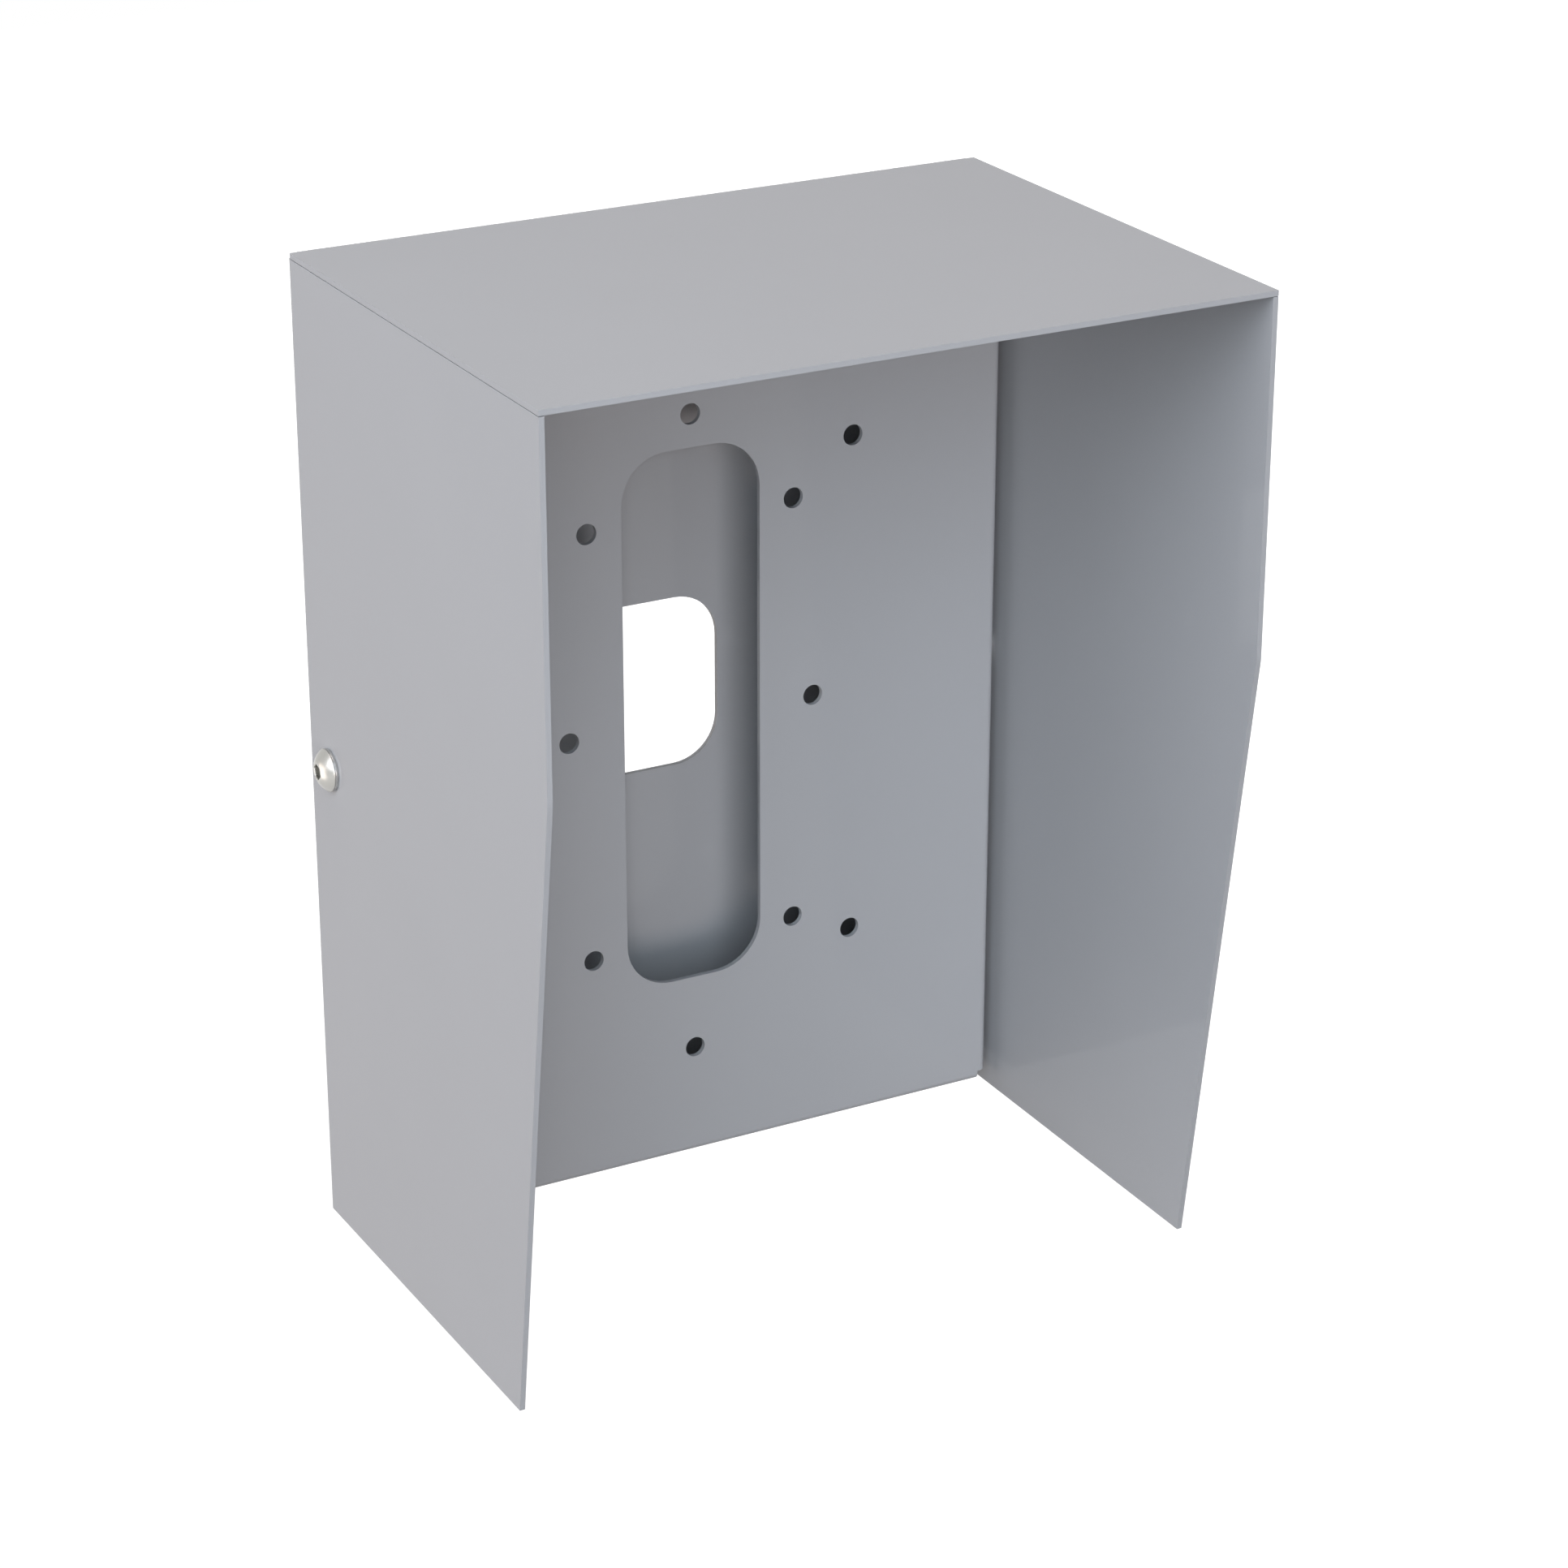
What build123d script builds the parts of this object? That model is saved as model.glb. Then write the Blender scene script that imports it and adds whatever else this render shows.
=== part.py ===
from build123d import *
import math
import os

# Wall or post mounted enclosure for a door intercom: an open-fronted hood folded from sheet metal,
# with a shallow folded pan inside that the intercom is bolted to. Two screws, one through each side
# wall, hold the pan. All sizes are in millimetres.
# Frame: X across the hood, Y into the wall, Z up. The outer face of the back is at Y = 0, so the open
# front faces -Y, and the origin is at the middle of the width and at half of the height.

# Hood
hood_width = 206.4
hood_height = 281.0
hood_depth = 152.4
foot_depth = 127.0          # depth of the side walls at their lower end
visor_height = 100.0        # the front edges are upright for this far below the top
hood_sheet = 1.5
hood_inner_bend = 1.0
seam_gap = 0.2              # hairline between the top plate and the side walls
kink_radius = 10.0

# Opening for the cable in the back of the hood
cable_opening_width = 43.2
cable_opening_height = 51.0
cable_opening_radius = 13.5
cable_opening_drop = 0.2    # its centre below half of the hood's height

# Holes that fix the hood to a wall or a post
fixing_width = 120.0
fixing_height = 200.0
fixing_hole = 6.5

# Pan
pan_depth = 26.6
pan_side_gap = 3.8          # between each side flange and the side wall
pan_upper_gap = 4.5         # between the upper flange and the top plate
pan_lower_gap = 4.8         # between the lower flange and the level of the walls' lower ends
pan_sheet = 1.5
pan_inner_bend = 0.5
corner_relief_margin = 0.8  # how far the cut corner reaches past the bends

# Cable slot and device holes in the pan's face. The drops are below the middle of the pan.
slot_width = 42.4
slot_height = 158.7
slot_radius = 14.0
device_hole = 6.0
centre_pair_width = 76.2
tall_pair_height = 190.5
tall_pair_drop = 6.4
narrow_pattern_width = 63.5
narrow_pattern_height = 127.0
narrow_pattern_drop = 3.8
wide_pattern_width = 101.0
wide_pattern_height = 150.0

# Side screws, each with its washer, spacer and nut plate
screw_setback = 15.2        # from the outer face of the back to the screw's axis
screw_height = 0.0
thread_size = 6.0
thread_clearance = 0.05     # between the screw and the nut plate, on the radius
shank_length = 16.0
head_size = 12.0
head_rise = 3.0
head_rim = 0.3
head_flat_size = 5.2
socket_size = 4.0           # across its flats
socket_depth = 2.0
socket_turn = 15.0          # how far the socket's corner is turned from upright, in degrees
wall_hole = 6.6
washer_size = 11.6
washer_bore = 6.4
washer_sheet = 1.0
washer_edge = 0.15
spacer_size = 12.0
spacer_bore = 6.4
nut_plate_height = 16.0
nut_plate_depth = 21.7      # from the hood's back panel towards the front
nut_plate_thickness = 5.0
nut_plate_corner = 2.0
flange_notch = 6.8          # width of the notch in the pan's side flange

# Places that follow from the sizes
hood_half = hood_width / 2
hood_top = hood_height / 2
hood_bottom = -hood_height / 2
hood_outer_bend = hood_inner_bend + hood_sheet
wall_top = hood_top - hood_sheet - seam_gap
kink_height = hood_top - visor_height
fold_half = hood_half - hood_outer_bend
pan_front = -(hood_sheet + pan_depth)
pan_half = hood_half - hood_sheet - pan_side_gap
pan_top = hood_top - hood_sheet - pan_upper_gap
pan_bottom = hood_bottom + pan_lower_gap
pan_centre = (pan_top + pan_bottom) / 2
pan_outer_bend = pan_inner_bend + pan_sheet
pan_relief = pan_outer_bend + corner_relief_margin
screw_place = -screw_setback
nut_plate_outer = pan_half - pan_sheet
head_seat = hood_half + washer_sheet

os.makedirs("parts", exist_ok=True)


def screw_plane(side, distance):
    """Plane across a side screw's axis, at a distance from the hood's middle, facing outwards."""
    return Plane(origin=(side * distance, screw_place, screw_height), x_dir=(0, 1, 0), z_dir=(side, 0, 0))


def screw_section_plane(side, distance):
    """Plane through a side screw's axis: its X is a radius, its Y points outwards along the axis."""
    return Plane(origin=(side * distance, screw_place, screw_height), x_dir=(0, 0, 1), z_dir=(0, side, 0))


def save(part, name):
    """Labels a finished piece and writes it under its name."""
    part.label = name
    export_step(part, f"parts/{name}.step")


# The hood is one sheet: the back panel, two side walls folded forward from it, and a top plate
# folded forward over the walls. It is open at the front and at the bottom.
with BuildPart() as hood_shell:
    # back panel and side walls, in plan
    with BuildSketch(Plane.XY.offset(hood_bottom)):
        with BuildLine():
            FilletPolyline(
                (-hood_half, -hood_depth),
                (-hood_half, 0),
                (hood_half, 0),
                (hood_half, -hood_depth),
                radius=hood_outer_bend,
            )
            offset(amount=hood_sheet, side=Side.RIGHT)
        make_face()
    extrude(amount=wall_top - hood_bottom)

    # outline of a side wall: below the kink its front edge leans back
    with BuildSketch(Plane.YZ) as wall_outline:
        with BuildLine():
            Polyline(
                (0, hood_bottom),
                (-foot_depth, hood_bottom),
                (-hood_depth, kink_height),
                (-hood_depth, wall_top),
                (0, wall_top),
                close=True,
            )
        make_face()
        kink = wall_outline.vertices().group_by(Axis.X)[0].sort_by(Axis.Y)[0]
        fillet(kink, radius=kink_radius)
    extrude(amount=hood_half, both=True, mode=Mode.INTERSECT)

    # the back panel stops where the top fold starts, and the bends beside it run on up to the walls' tops
    with BuildSketch(Plane.XY.offset(hood_top - hood_outer_bend)):
        with Locations((0, -hood_outer_bend / 2)):
            Rectangle(2 * fold_half, hood_outer_bend)
    extrude(amount=hood_outer_bend, mode=Mode.SUBTRACT)

    # top plate and its fold, seen from the side
    with BuildSketch(Plane.YZ):
        with BuildLine():
            FilletPolyline(
                (0, hood_top - hood_outer_bend - hood_sheet),
                (0, hood_top),
                (-hood_depth, hood_top),
                radius=hood_outer_bend,
            )
            offset(amount=hood_sheet, side=Side.LEFT)
        make_face()
    extrude(amount=fold_half, both=True)
    with BuildSketch(Plane.XY.offset(hood_top)):
        with Locations((0, -(hood_depth + hood_outer_bend) / 2)):
            Rectangle(hood_width, hood_depth - hood_outer_bend)
    extrude(amount=-hood_sheet)

    # cable opening and fixing holes in the back panel
    with BuildSketch(Plane.XZ):
        with Locations((0, -cable_opening_drop)):
            RectangleRounded(cable_opening_width, cable_opening_height, cable_opening_radius)
        with GridLocations(fixing_width, fixing_height, 2, 2):
            Circle(fixing_hole / 2)
    extrude(amount=hood_sheet, mode=Mode.SUBTRACT)

    # a hole for the screw in each side wall
    for side in (-1, 1):
        with BuildSketch(screw_plane(side, hood_half)):
            Circle(wall_hole / 2)
        extrude(amount=-hood_sheet, mode=Mode.SUBTRACT)
save(hood_shell.part, "hood_shell")


# The pan is a shallow tray folded from one sheet. Its face carries the intercom, and its four
# flanges run back and rest on the hood's back panel. Its corners are cut out, so the flanges fold.
with BuildPart() as mounting_pan:
    # face and side flanges, in plan
    with BuildSketch(Plane.XY.offset(pan_centre)):
        with BuildLine():
            FilletPolyline(
                (-pan_half, -hood_sheet),
                (-pan_half, pan_front),
                (pan_half, pan_front),
                (pan_half, -hood_sheet),
                radius=pan_outer_bend,
            )
            offset(amount=pan_sheet, side=Side.LEFT)
        make_face()
    extrude(amount=(pan_top - pan_bottom) / 2 - pan_relief, both=True)

    # face with the top and bottom flanges, seen from the side
    with BuildSketch(Plane.YZ):
        with BuildLine():
            FilletPolyline(
                (-hood_sheet, pan_bottom),
                (pan_front, pan_bottom),
                (pan_front, pan_top),
                (-hood_sheet, pan_top),
                radius=pan_outer_bend,
            )
            offset(amount=pan_sheet, side=Side.RIGHT)
        make_face()
    extrude(amount=pan_half - pan_relief, both=True)

    # cable slot and the device holes round it
    with BuildSketch(Plane.XZ.offset(-pan_front)):
        with Locations((0, pan_centre)):
            RectangleRounded(slot_width, slot_height, slot_radius)
            with GridLocations(centre_pair_width, 0, 2, 1):
                Circle(device_hole / 2)
            with GridLocations(wide_pattern_width, wide_pattern_height, 2, 2):
                Circle(device_hole / 2)
        with Locations((0, pan_centre - tall_pair_drop)):
            with GridLocations(0, tall_pair_height, 1, 2):
                Circle(device_hole / 2)
        with Locations((0, pan_centre - narrow_pattern_drop)):
            with GridLocations(narrow_pattern_width, narrow_pattern_height, 2, 2):
                Circle(device_hole / 2)
    extrude(amount=-pan_sheet, mode=Mode.SUBTRACT)

    # each side flange has a notch, open at the rear, that drops over the screw
    for side in (-1, 1):
        notch_length = screw_setback - hood_sheet
        with BuildSketch(screw_plane(side, pan_half)):
            Circle(flange_notch / 2)
            with Locations((notch_length / 2, 0)):
                Rectangle(notch_length, flange_notch)
        extrude(amount=-pan_sheet, mode=Mode.SUBTRACT)
save(mounting_pan.part, "mounting_pan")


# The same four pieces hold the pan on each side, on one axis square to the side wall
for side_name, side in (("left", -1), ("right", 1)):
    # button-head screw with a hexagon socket
    dome_centre = (head_flat_size**2 / 4 + head_rise**2 - head_size**2 / 4 - head_rim**2) / (
        2 * (head_rise - head_rim)
    )
    dome_radius = math.hypot(head_size / 2, head_rim - dome_centre)
    rim_angle = math.degrees(math.atan2(head_rim - dome_centre, head_size / 2))
    flat_angle = math.degrees(math.atan2(head_rise - dome_centre, head_flat_size / 2))
    with BuildPart() as side_screw:
        with BuildSketch(screw_section_plane(side, head_seat)):
            with BuildLine():
                Polyline((0, head_rise), (0, 0), (head_size / 2, 0), (head_size / 2, head_rim))
                CenterArc((0, dome_centre), dome_radius, rim_angle, flat_angle - rim_angle)
                Line((head_flat_size / 2, head_rise), (0, head_rise))
            make_face()
        revolve(axis=Axis((side * head_seat, screw_place, screw_height), (side, 0, 0)))
        with BuildSketch(screw_plane(side, head_seat)):
            Circle(thread_size / 2)
        extrude(amount=-shank_length)
        # at 30 degrees the hexagon has a corner upright
        with BuildSketch(screw_plane(side, head_seat + head_rise)):
            RegularPolygon(socket_size / 2, 6, major_radius=False, rotation=30 - side * socket_turn)
        extrude(amount=-socket_depth, mode=Mode.SUBTRACT)
    save(side_screw.part, f"side_screw_{side_name}")

    # thin washer under the head
    with BuildPart() as side_washer:
        with BuildSketch(screw_plane(side, hood_half)):
            Circle(washer_size / 2)
            Circle(washer_bore / 2, mode=Mode.SUBTRACT)
        extrude(amount=washer_sheet)
        rim_edges = side_washer.edges().filter_by(GeomType.CIRCLE).sort_by(SortBy.RADIUS)[-2:]
        chamfer(rim_edges, length=washer_edge)
    save(side_washer.part, f"side_washer_{side_name}")

    # spacer that fills the gap between the side wall and the pan's flange
    with BuildPart() as side_spacer:
        with BuildSketch(screw_plane(side, pan_half)):
            Circle(spacer_size / 2)
            Circle(spacer_bore / 2, mode=Mode.SUBTRACT)
        extrude(amount=pan_side_gap)
    save(side_spacer.part, f"side_spacer_{side_name}")

    # nut plate inside the flange: its rear end meets the back panel, so it can't turn with the screw
    with BuildPart() as nut_plate:
        with BuildSketch(screw_plane(side, nut_plate_outer)):
            with Locations((screw_setback - hood_sheet - nut_plate_depth / 2, 0)):
                Rectangle(nut_plate_depth, nut_plate_height)
            Circle(thread_size / 2 + thread_clearance, mode=Mode.SUBTRACT)
        extrude(amount=-nut_plate_thickness)
        front_corners = nut_plate.edges().filter_by(Axis.X).group_by(Axis.Y)[0]
        fillet(front_corners, radius=nut_plate_corner)
    save(nut_plate.part, f"nut_plate_{side_name}")
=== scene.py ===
# %% [markdown]
# # Dressing a folded sheet-metal intercom enclosure
#
# The enclosure is an open-fronted hood with a shallow pan inside. Both are folded from thin sheet
# and painted light grey, and one button-head screw through each side wall holds the pan. The
# solids already have their true shape and size, so this lesson is mostly about three things: a
# camera that sees the object as the photograph does, paint that looks like paint from close by,
# and soft light that shades the inside of the hood.
#
# The solids come in as a fixed frame, in metres. They can be given materials and be joined by new
# pieces, and they can't be moved.

# %% Load the frame
import math

import bpy
from mathutils import Matrix, Vector


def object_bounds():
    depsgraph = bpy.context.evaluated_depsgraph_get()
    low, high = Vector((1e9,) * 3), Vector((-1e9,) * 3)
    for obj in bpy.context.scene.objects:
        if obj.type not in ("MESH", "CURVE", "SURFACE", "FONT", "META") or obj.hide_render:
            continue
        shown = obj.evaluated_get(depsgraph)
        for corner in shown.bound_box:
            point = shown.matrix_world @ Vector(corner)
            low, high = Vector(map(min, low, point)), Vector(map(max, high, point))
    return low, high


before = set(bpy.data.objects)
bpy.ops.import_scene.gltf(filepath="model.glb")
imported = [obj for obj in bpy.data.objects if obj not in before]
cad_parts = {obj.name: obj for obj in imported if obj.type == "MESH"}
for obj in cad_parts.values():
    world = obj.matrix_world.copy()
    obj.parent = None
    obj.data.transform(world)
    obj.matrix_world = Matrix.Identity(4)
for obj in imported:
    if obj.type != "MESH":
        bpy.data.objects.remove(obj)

cad_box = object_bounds()
print("CAD box in metres:", [tuple(round(v, 4) for v in corner) for corner in cad_box])

# %% [markdown]
# ## Camera
#
# A camera can be found by eye, by sliding it about until the edges line up, or worked out from the
# photograph. Here the second way was taken: the corners and the hole centres of the object are
# known in millimetres, and one pinhole camera was fitted to where they are in the photograph. It
# has a long lens, stands to the left of the object and above it, and hardly leans. The
# photograph's frame is square, so the lens follows from the focal length in pixels and the
# frame's width.

# %% Camera
PHOTO_WIDTH = 1932
FOCAL_PIXELS = 5217.1
SENSOR_WIDTH = 36.0
CAMERA_PLACE = Vector((-0.49859, -0.99896, 0.44230))
CAMERA_YAW = math.radians(28.517)
CAMERA_PITCH = math.radians(22.972)
CAMERA_ROLL = math.radians(0.057)

camera_data = bpy.data.cameras.new("photo_camera")
camera_data.sensor_width = SENSOR_WIDTH
camera_data.lens = SENSOR_WIDTH * FOCAL_PIXELS / PHOTO_WIDTH
camera = bpy.data.objects.new("photo_camera", camera_data)
camera.matrix_world = (
    Matrix.Translation(CAMERA_PLACE)
    @ Matrix.Rotation(-CAMERA_YAW, 4, "Z")
    @ Matrix.Rotation(math.pi / 2 - CAMERA_PITCH, 4, "X")
    @ Matrix.Rotation(CAMERA_ROLL, 4, "Z")
)
bpy.context.scene.collection.objects.link(camera)
bpy.context.scene.camera = camera
print(f"lens {camera_data.lens:.1f} mm")

# %% [markdown]
# ## Writing materials as sums
#
# A material is a graph of nodes. Wired by hand, even a small mask takes many lines, and nobody
# can read the formula back from them. So one small class wraps an output socket and turns
# Python's operators into Math nodes, and `1 - mask` reads as it does on paper. Every other kind
# of node comes from one method, which takes the node's type, its settings and what goes into its
# sockets.

# %% A wire and a finish
class Wire:
    """An output socket in a finish. Sums with it add Math nodes and give the result's wire."""

    def __init__(self, finish, socket):
        self.finish = finish
        self.socket = socket

    def combine(self, operation, first, second):
        return self.finish.node("ShaderNodeMath", {"operation": operation}, {0: first, 1: second})

    def __add__(self, other):
        return self.combine("ADD", self, other)

    def __radd__(self, other):
        return self.combine("ADD", other, self)

    def __sub__(self, other):
        return self.combine("SUBTRACT", self, other)

    def __rsub__(self, other):
        return self.combine("SUBTRACT", other, self)

    def __mul__(self, other):
        return self.combine("MULTIPLY", self, other)

    def __rmul__(self, other):
        return self.combine("MULTIPLY", other, self)


class Finish:
    """The node tree of a material or of the world, and the one method that adds nodes to it."""

    def __init__(self, owner):
        self.owner = owner
        owner.use_nodes = True
        self.tree = owner.node_tree
        self.tree.nodes.clear()

    def node(self, kind, settings=None, inputs=None, output=0):
        """Adds a node, sets it up, fills its sockets and gives the wire of one of its outputs."""
        made = self.tree.nodes.new(kind)
        for name, value in (settings or {}).items():
            setattr(made, name, value)
        for name, value in (inputs or {}).items():
            if isinstance(value, Wire):
                self.tree.links.new(value.socket, made.inputs[name])
            else:
                made.inputs[name].default_value = value
        return Wire(self, made.outputs[output]) if len(made.outputs) else None


OPERATOR_ENDS = ("add__", "sub__", "mul__")
print("operators on wires:", [name for name in vars(Wire) if name.endswith(OPERATOR_ENDS)])

# %% [markdown]
# ## Tones and fine relief
#
# No real surface is one flat colour. Paint and bare metal both drift a little between a darker
# and a lighter tone, both have some fine unevenness, and both have edges that aren't perfectly
# sharp. The drift could be painted by hand. Noise does it at any size and on every side, and one
# Mix node blends the two tones by it. A Mix node has a pair of inputs for each kind of data, all
# with the same two names, so the colour pair is picked by number. The edges could be rounded in
# the mesh. A Bevel node bends only the normal there, which is enough for edges this small, and a
# Bump node lays the fine unevenness over it.

# %% Tones and fine relief
MIX_FIRST_COLOUR = 6
MIX_SECOND_COLOUR = 7
MIX_COLOUR_RESULT = 2


def scaled(colour, factor):
    """A colour made darker or lighter, with its alpha."""
    return tuple(channel * factor for channel in colour) + (1.0,)


def noise(finish, place, scale, detail):
    """Cloudy noise from 0 to 1, with about as many clouds to the metre as the scale says."""
    inputs = {"Vector": place, "Scale": scale, "Detail": detail}
    return finish.node("ShaderNodeTexNoise", {}, inputs)


def drifting_tone(finish, colour, drift, cloud):
    """A colour that goes from a little darker to a little lighter with the cloud."""
    tones = {
        "Factor": cloud,
        MIX_FIRST_COLOUR: scaled(colour, 1 - drift),
        MIX_SECOND_COLOUR: scaled(colour, 1 + drift),
    }
    return finish.node("ShaderNodeMix", {"data_type": "RGBA"}, tones, output=MIX_COLOUR_RESULT)


def fine_relief(finish, height, depth, edge_radius, edge_samples):
    """A normal with rounded edges and, over them, bumps as deep as the depth in metres."""
    rounded = finish.node("ShaderNodeBevel", {"samples": edge_samples}, {"Radius": edge_radius})
    inputs = {"Strength": 1.0, "Distance": depth, "Height": height, "Normal": rounded}
    return finish.node("ShaderNodeBump", {}, inputs)


print("a middle grey at half its tone:", scaled((0.5, 0.5, 0.5), 0.5))

# %% [markdown]
# ## Grey paint
#
# The sheet is painted light grey with a smooth, semi-gloss coat: the screw's head shows faintly
# in the wall beside it, and the pan mirrors the edge of the opposite wall. One way is a glossy
# base. It gives the reflection but also loses the flat, even grey. So the colour is a matt base
# without any gloss of its own, and a thin clear coat on top carries the reflection, as on the
# real paint. The tone drifts over some centimetres, the base has a fine peel, and the edges are
# rounded off by the paint's thickness. The coat keeps its own smooth normal, so its reflections
# stay clean.

# %% Paint
PAINT_GREY = (0.490, 0.500, 0.515)
PAINT_DRIFT = 0.02
PAINT_CLOUD_SCALE = 18.0
PAINT_CLOUD_DETAIL = 2.0
PEEL_SIZE = 0.0011
PEEL_DEPTH = 0.000001
PEEL_DETAIL = 1.0
PAINT_EDGE_RADIUS = 0.0001
PAINT_EDGE_SAMPLES = 4
PAINT_ROUGHNESS = 0.5
PAINT_ROUGHNESS_DRIFT = 0.06
COAT_WEIGHT = 0.27
COAT_WEIGHT_DRIFT = 0.04
COAT_ROUGHNESS = 0.05
COAT_IOR = 1.45


def paint(name):
    """Semi-gloss paint: a matt grey base with a fine peel, under a thin clear coat."""
    finish = Finish(bpy.data.materials.new(name))
    place = finish.node("ShaderNodeTexCoord", output="Object")
    cloud = noise(finish, place, PAINT_CLOUD_SCALE, PAINT_CLOUD_DETAIL)
    peel = noise(finish, place, 1 / PEEL_SIZE, PEEL_DETAIL)
    surface = finish.node(
        "ShaderNodeBsdfPrincipled",
        {},
        {
            "Base Color": drifting_tone(finish, PAINT_GREY, PAINT_DRIFT, cloud),
            "Roughness": PAINT_ROUGHNESS + PAINT_ROUGHNESS_DRIFT * cloud,
            "Specular IOR Level": 0.0,
            "Coat Weight": COAT_WEIGHT - COAT_WEIGHT_DRIFT * cloud,
            "Coat Roughness": COAT_ROUGHNESS,
            "Coat IOR": COAT_IOR,
            "Normal": fine_relief(finish, peel, PEEL_DEPTH, PAINT_EDGE_RADIUS, PAINT_EDGE_SAMPLES),
        },
    )
    finish.node("ShaderNodeOutputMaterial", {}, {"Surface": surface})
    return finish.owner


hood_paint = paint("hood_grey_paint")
pan_paint = paint("pan_grey_paint")
print("paint nodes:", len(hood_paint.node_tree.nodes))

# %% [markdown]
# ## Bare metal
#
# The screws are polished stainless steel, the washers are satin, and the hidden spacers and nut
# plates are zinc plated. All of them are the same recipe, a metallic surface with fine marks from
# the tools that made it, and only the colour, the roughness, the edges and the marks differ. The
# marks are fine noise in the normal, because a changing roughness alone reads as dirt. The edges
# are softened most of all on the screw's head, where the rims of the flat and of the socket are
# rounded by polishing and catch the light.

# %% Metals
METAL_DRIFT = 0.04
METAL_ROUGHNESS_DRIFT = 0.04
METAL_CLOUD_SCALE = 300.0
METAL_CLOUD_DETAIL = 3.0
MARK_DETAIL = 2.0
METAL_EDGE_SAMPLES = 6

# name: colour, roughness, edge radius, size of the marks, depth of the marks
METALS = {
    "polished_stainless": ((0.46, 0.455, 0.43), 0.28, 0.0006, 0.0008, 0.000001),
    "satin_steel": ((0.58, 0.58, 0.57), 0.24, 0.0002, 0.0004, 0.000002),
    "zinc_plate": ((0.55, 0.56, 0.57), 0.34, 0.0002, 0.0006, 0.000004),
}


def metal(name, colour, roughness, edge_radius, mark_size, mark_depth):
    """A bare metal with softened edges and fine marks left by making it."""
    finish = Finish(bpy.data.materials.new(name))
    place = finish.node("ShaderNodeTexCoord", output="Object")
    cloud = noise(finish, place, METAL_CLOUD_SCALE, METAL_CLOUD_DETAIL)
    marks = noise(finish, place, 1 / mark_size, MARK_DETAIL)
    surface = finish.node(
        "ShaderNodeBsdfPrincipled",
        {},
        {
            "Base Color": drifting_tone(finish, colour, METAL_DRIFT, cloud),
            "Metallic": 1.0,
            "Roughness": roughness + METAL_ROUGHNESS_DRIFT * cloud,
            "Normal": fine_relief(finish, marks, mark_depth, edge_radius, METAL_EDGE_SAMPLES),
        },
    )
    finish.node("ShaderNodeOutputMaterial", {}, {"Surface": surface})
    return finish.owner


metals = {name: metal(name, *values) for name, values in METALS.items()}
print("metals:", list(metals))

# %% [markdown]
# ## Dressing the solids
#
# Each solid gets the finish of its family, which the start of its name tells, so the left and the
# right piece of a pair share one line. The material could be put on each solid by hand. A table
# shows at a glance that none is forgotten.

# %% Dress the solids
NODE_FINISHES = {
    "hood_shell": hood_paint,
    "mounting_pan": pan_paint,
    "side_screw": metals["polished_stainless"],
    "side_washer": metals["satin_steel"],
    "side_spacer": metals["zinc_plate"],
    "nut_plate": metals["zinc_plate"],
}
for node_name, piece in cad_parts.items():
    family = next(start for start in NODE_FINISHES if node_name.startswith(start))
    piece.data.materials.clear()
    piece.data.materials.append(NODE_FINISHES[family])
    print(f"{node_name}: {NODE_FINISHES[family].name}")

# %% [markdown]
# ## Floor
#
# The photograph has a plain white ground with no horizon. A floor that is only painted white
# turns grey wherever the light is weaker, so its material mixes the painted floor with a little
# light of its own. The light path tells who is looking: the camera and mirror reflections get
# this mix, which is full white where nothing shades the floor and darker in a shadow. The object
# is lit by another, darker floor, because the photograph shows hardly any light from below:
# inside the hood, the pan and the side walls get darker towards the open bottom. The enclosure
# hangs on a wall or a post, so the floor lies well below it.

# %% Who is looking
EYE_RAYS = ("Is Camera Ray", "Is Glossy Ray", "Is Transmission Ray")


def seen_by_eye(finish):
    """1 for what the camera sees directly, in a mirror reflection or through glass, else 0."""
    direct, mirrored, through = (
        finish.node("ShaderNodeLightPath", output=ray) for ray in EYE_RAYS
    )
    return direct + mirrored + through


def mixed_shaders(finish, share, first, second):
    """The first shader where the share is 0, and the second one where it is 1."""
    return finish.node("ShaderNodeMixShader", {}, {"Fac": share, 1: first, 2: second})


print("rays that see the pale ground:", EYE_RAYS)

# %% Floor
WHITE = (1.0, 1.0, 1.0)
ORIGIN = (0.0, 0.0, 0.0)
FLOOR_SIZE = 8.0
FLOOR_DROP = 0.6
FLOOR_TONE = 0.80
FLOOR_BOUNCE = 0.14
FLOOR_GLOW = 1.25
NEAR_SHARE = 0.55
SHADOW_REACH = 2.0


def floor_paint():
    """A floor that looks pale, with more glow further out, and sends little light upwards."""
    finish = Finish(bpy.data.materials.new("pale_floor"))
    bounce = finish.node("ShaderNodeBsdfDiffuse", {}, {"Color": scaled(WHITE, FLOOR_BOUNCE)})
    matt = finish.node("ShaderNodeBsdfDiffuse", {}, {"Color": scaled(WHITE, FLOOR_TONE)})
    glow = finish.node("ShaderNodeEmission", {}, {"Strength": FLOOR_GLOW})
    place = finish.node("ShaderNodeNewGeometry", output="Position")
    between = {0: place, 1: ORIGIN}
    away = finish.node("ShaderNodeVectorMath", {"operation": "DISTANCE"}, between, output="Value")
    glow_share = finish.node(
        "ShaderNodeMapRange",
        {"interpolation_type": "SMOOTHSTEP"},
        {
            "Value": away,
            "From Min": FLOOR_DROP,
            "From Max": SHADOW_REACH,
            "To Min": NEAR_SHARE,
            "To Max": 1.0,
        },
    )
    pale = mixed_shaders(finish, glow_share, matt, glow)
    surface = mixed_shaders(finish, seen_by_eye(finish), bounce, pale)
    finish.node("ShaderNodeOutputMaterial", {}, {"Surface": surface})
    return finish.owner


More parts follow.
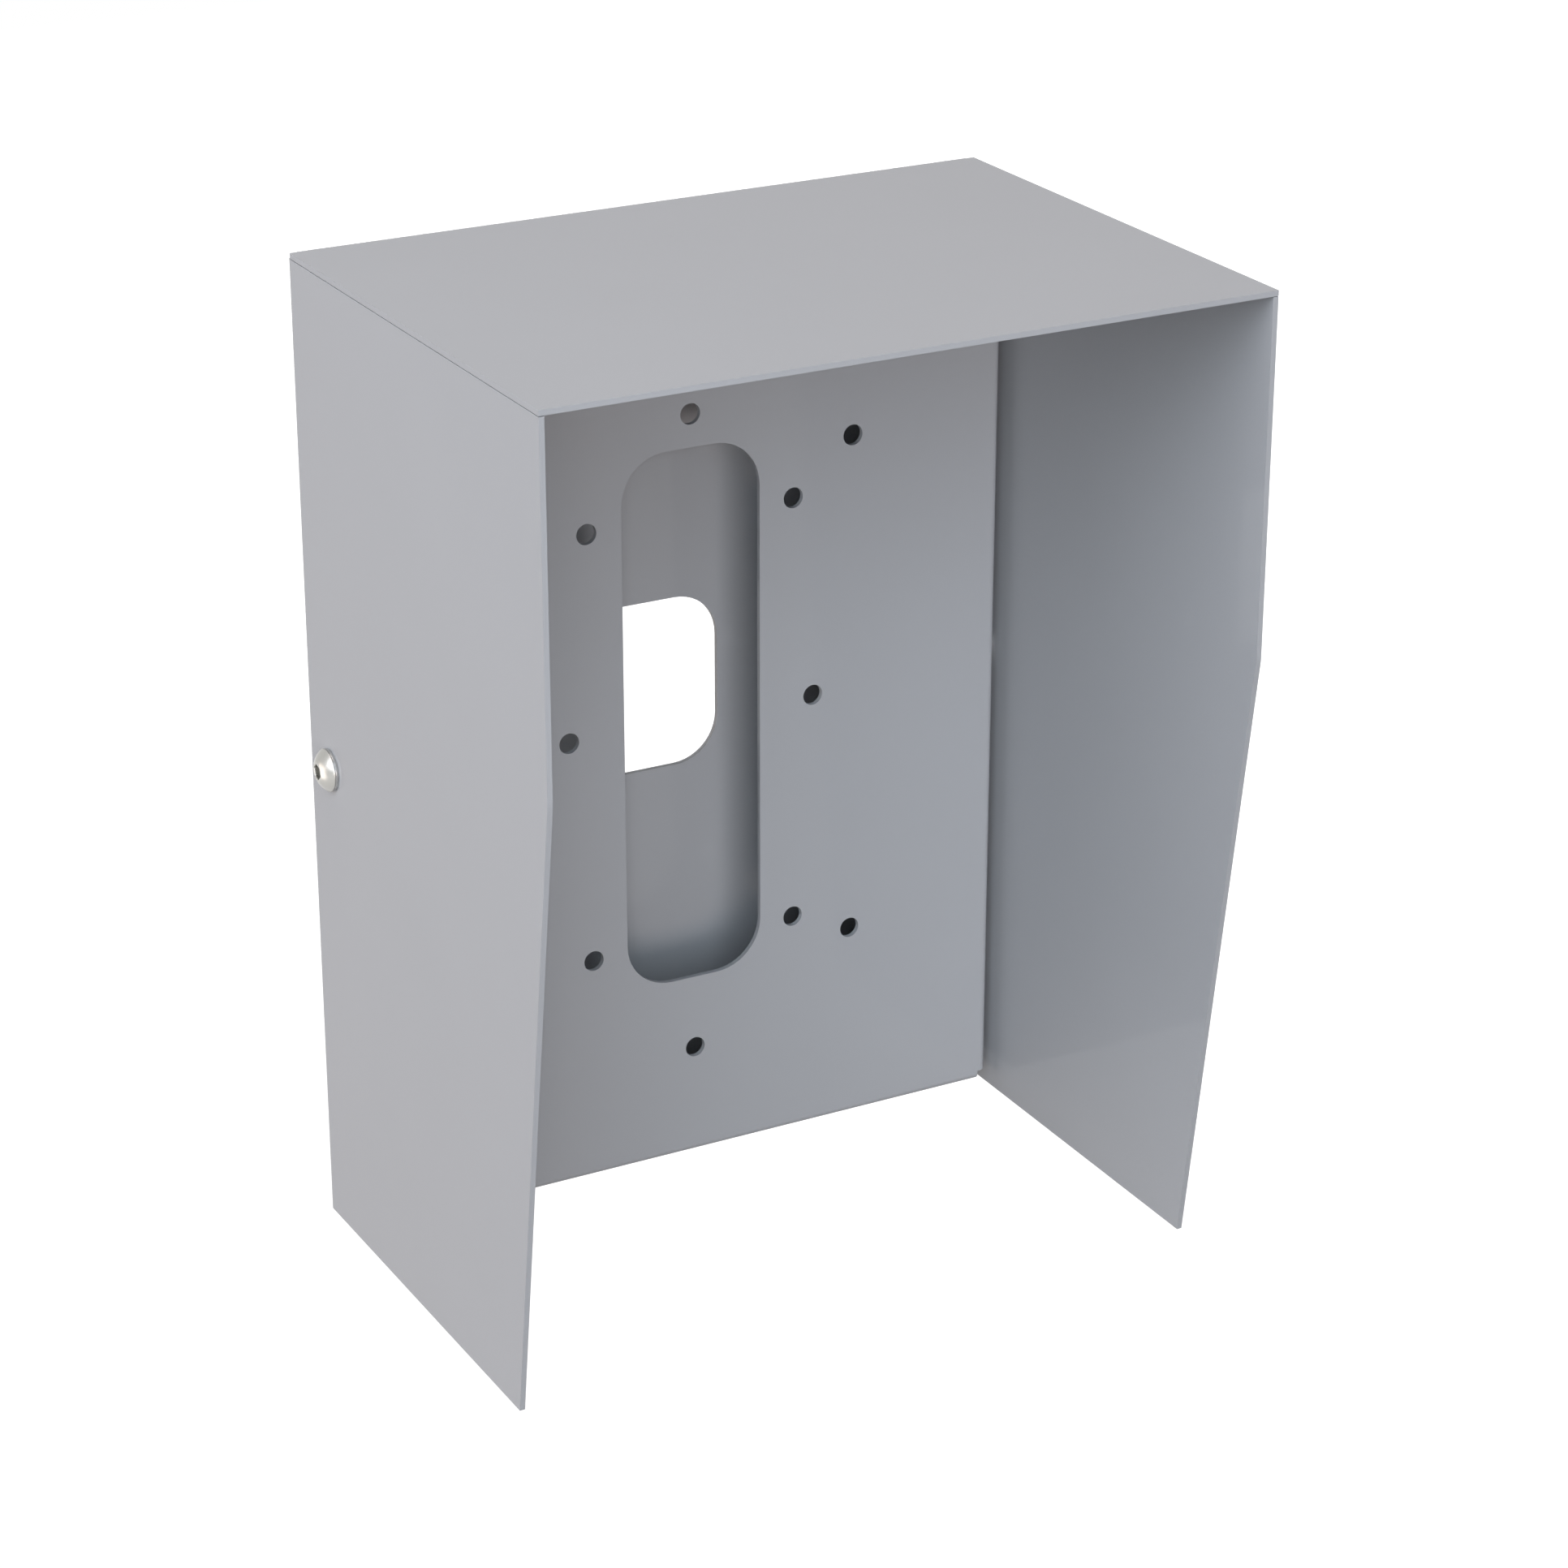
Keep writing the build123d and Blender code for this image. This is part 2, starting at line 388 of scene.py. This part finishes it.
floor_height = cad_box[0][2] - FLOOR_DROP
bpy.ops.mesh.primitive_plane_add(size=FLOOR_SIZE, location=(0, 0, floor_height))
floor = bpy.context.object
floor.name = "floor"
floor.data.materials.append(floor_paint())
print("floor at", round(floor_height, 3))

# %% [markdown]
# ## Light
#
# On the object the light comes from softboxes, all of them wide, so that nothing casts a hard
# shadow. The photograph tells where they stand: the pan gets lighter from left to right and
# darker under the top plate, so the main light comes from the front left and from above. Two more
# light the left wall, a low one in front reaches under the top plate, a small one near the rear
# of the left wall lifts its far end, and one overhead lights the top plate. Their powers could be
# found by trying. Here the scene was rendered with one lamp at a time, and a least-squares fit
# gave how much of each lamp adds up to the photograph's brightness.
#
# The right wall and the back, which the photograph doesn't show, get a lamp each. Both stay low,
# because a glossy top plate mirrors whatever stands above it and would vanish in white. The rear
# one also stands well to the right: from straight behind, the lower ends of the side walls
# mirrored it to a viewer in front. The world is white for the eye and gives the object only a
# faint, even light.

# %% World
WORLD_STRENGTH = 0.03


def even_light(finish, strength):
    """White light of the same strength from all round."""
    inputs = {"Color": scaled(WHITE, 1.0), "Strength": strength}
    return finish.node("ShaderNodeBackground", {}, inputs)


sky = Finish(bpy.data.worlds.new("studio"))
bpy.context.scene.world = sky.owner
dim, white = even_light(sky, WORLD_STRENGTH), even_light(sky, 1.0)
backdrop = mixed_shaders(sky, seen_by_eye(sky), dim, white)
sky.node("ShaderNodeOutputWorld", {}, {"Surface": backdrop})
print("world strength", WORLD_STRENGTH)

# %% Softboxes
AIM = Vector((0.0, -0.06, 0.0))
FAR = 2.4
NEAR = 1.2

# name: degrees left of straight in front, degrees up, distance, width, height, watts, colour
SOFTBOXES = {
    "key_softbox": (25, 25, FAR, 2.0, 2.4, 35.4, (0.887, 1.0, 1.119)),
    "side_softbox": (60, 30, FAR, 1.2, 2.2, 9.8, (0.97, 1.0, 1.077)),
    "left_softbox": (75, 35, FAR, 1.2, 1.8, 16.0, (0.97, 1.0, 1.077)),
    "low_softbox": (15, -2, FAR, 1.4, 0.8, 10.4, (1.184, 1.0, 0.925)),
    "near_softbox": (110, -10, NEAR, 0.8, 0.8, 3.6, (1.145, 1.0, 0.913)),
    "top_softbox": (0, 88, FAR, 1.6, 1.6, 22.7, (1.103, 1.0, 0.952)),
    "right_softbox": (-100, -4, FAR, 1.6, 0.9, 26.0, (1.0, 1.0, 1.0)),
    "rear_softbox": (-150, -4, FAR, 1.6, 0.9, 24.0, (1.0, 1.0, 1.0)),
}


def towards_lamp(left, up):
    """The direction from the object to a lamp, from its two angles in degrees."""
    left, up = math.radians(left), math.radians(up)
    return Vector(
        (-math.cos(up) * math.sin(left), -math.cos(up) * math.cos(left), math.sin(up))
    )


for name, (left, up, distance, width, height, watts, colour) in SOFTBOXES.items():
    lamp = bpy.data.lights.new(name, "AREA")
    lamp.shape = "RECTANGLE"
    lamp.size = width
    lamp.size_y = height
    lamp.energy = watts
    lamp.color = colour
    softbox = bpy.data.objects.new(name, lamp)
    outwards = towards_lamp(left, up)
    softbox.location = AIM + distance * outwards
    softbox.rotation_euler = (-outwards).to_track_quat("-Z", "Y").to_euler()
    bpy.context.scene.collection.objects.link(softbox)
    print(f"{name}: {watts} W at", tuple(round(v, 2) for v in softbox.location))

# %% [markdown]
# ## Colour
#
# The Standard view transform shows a colour as it is written.

# %% Finish
bpy.context.scene.view_settings.view_transform = "Standard"
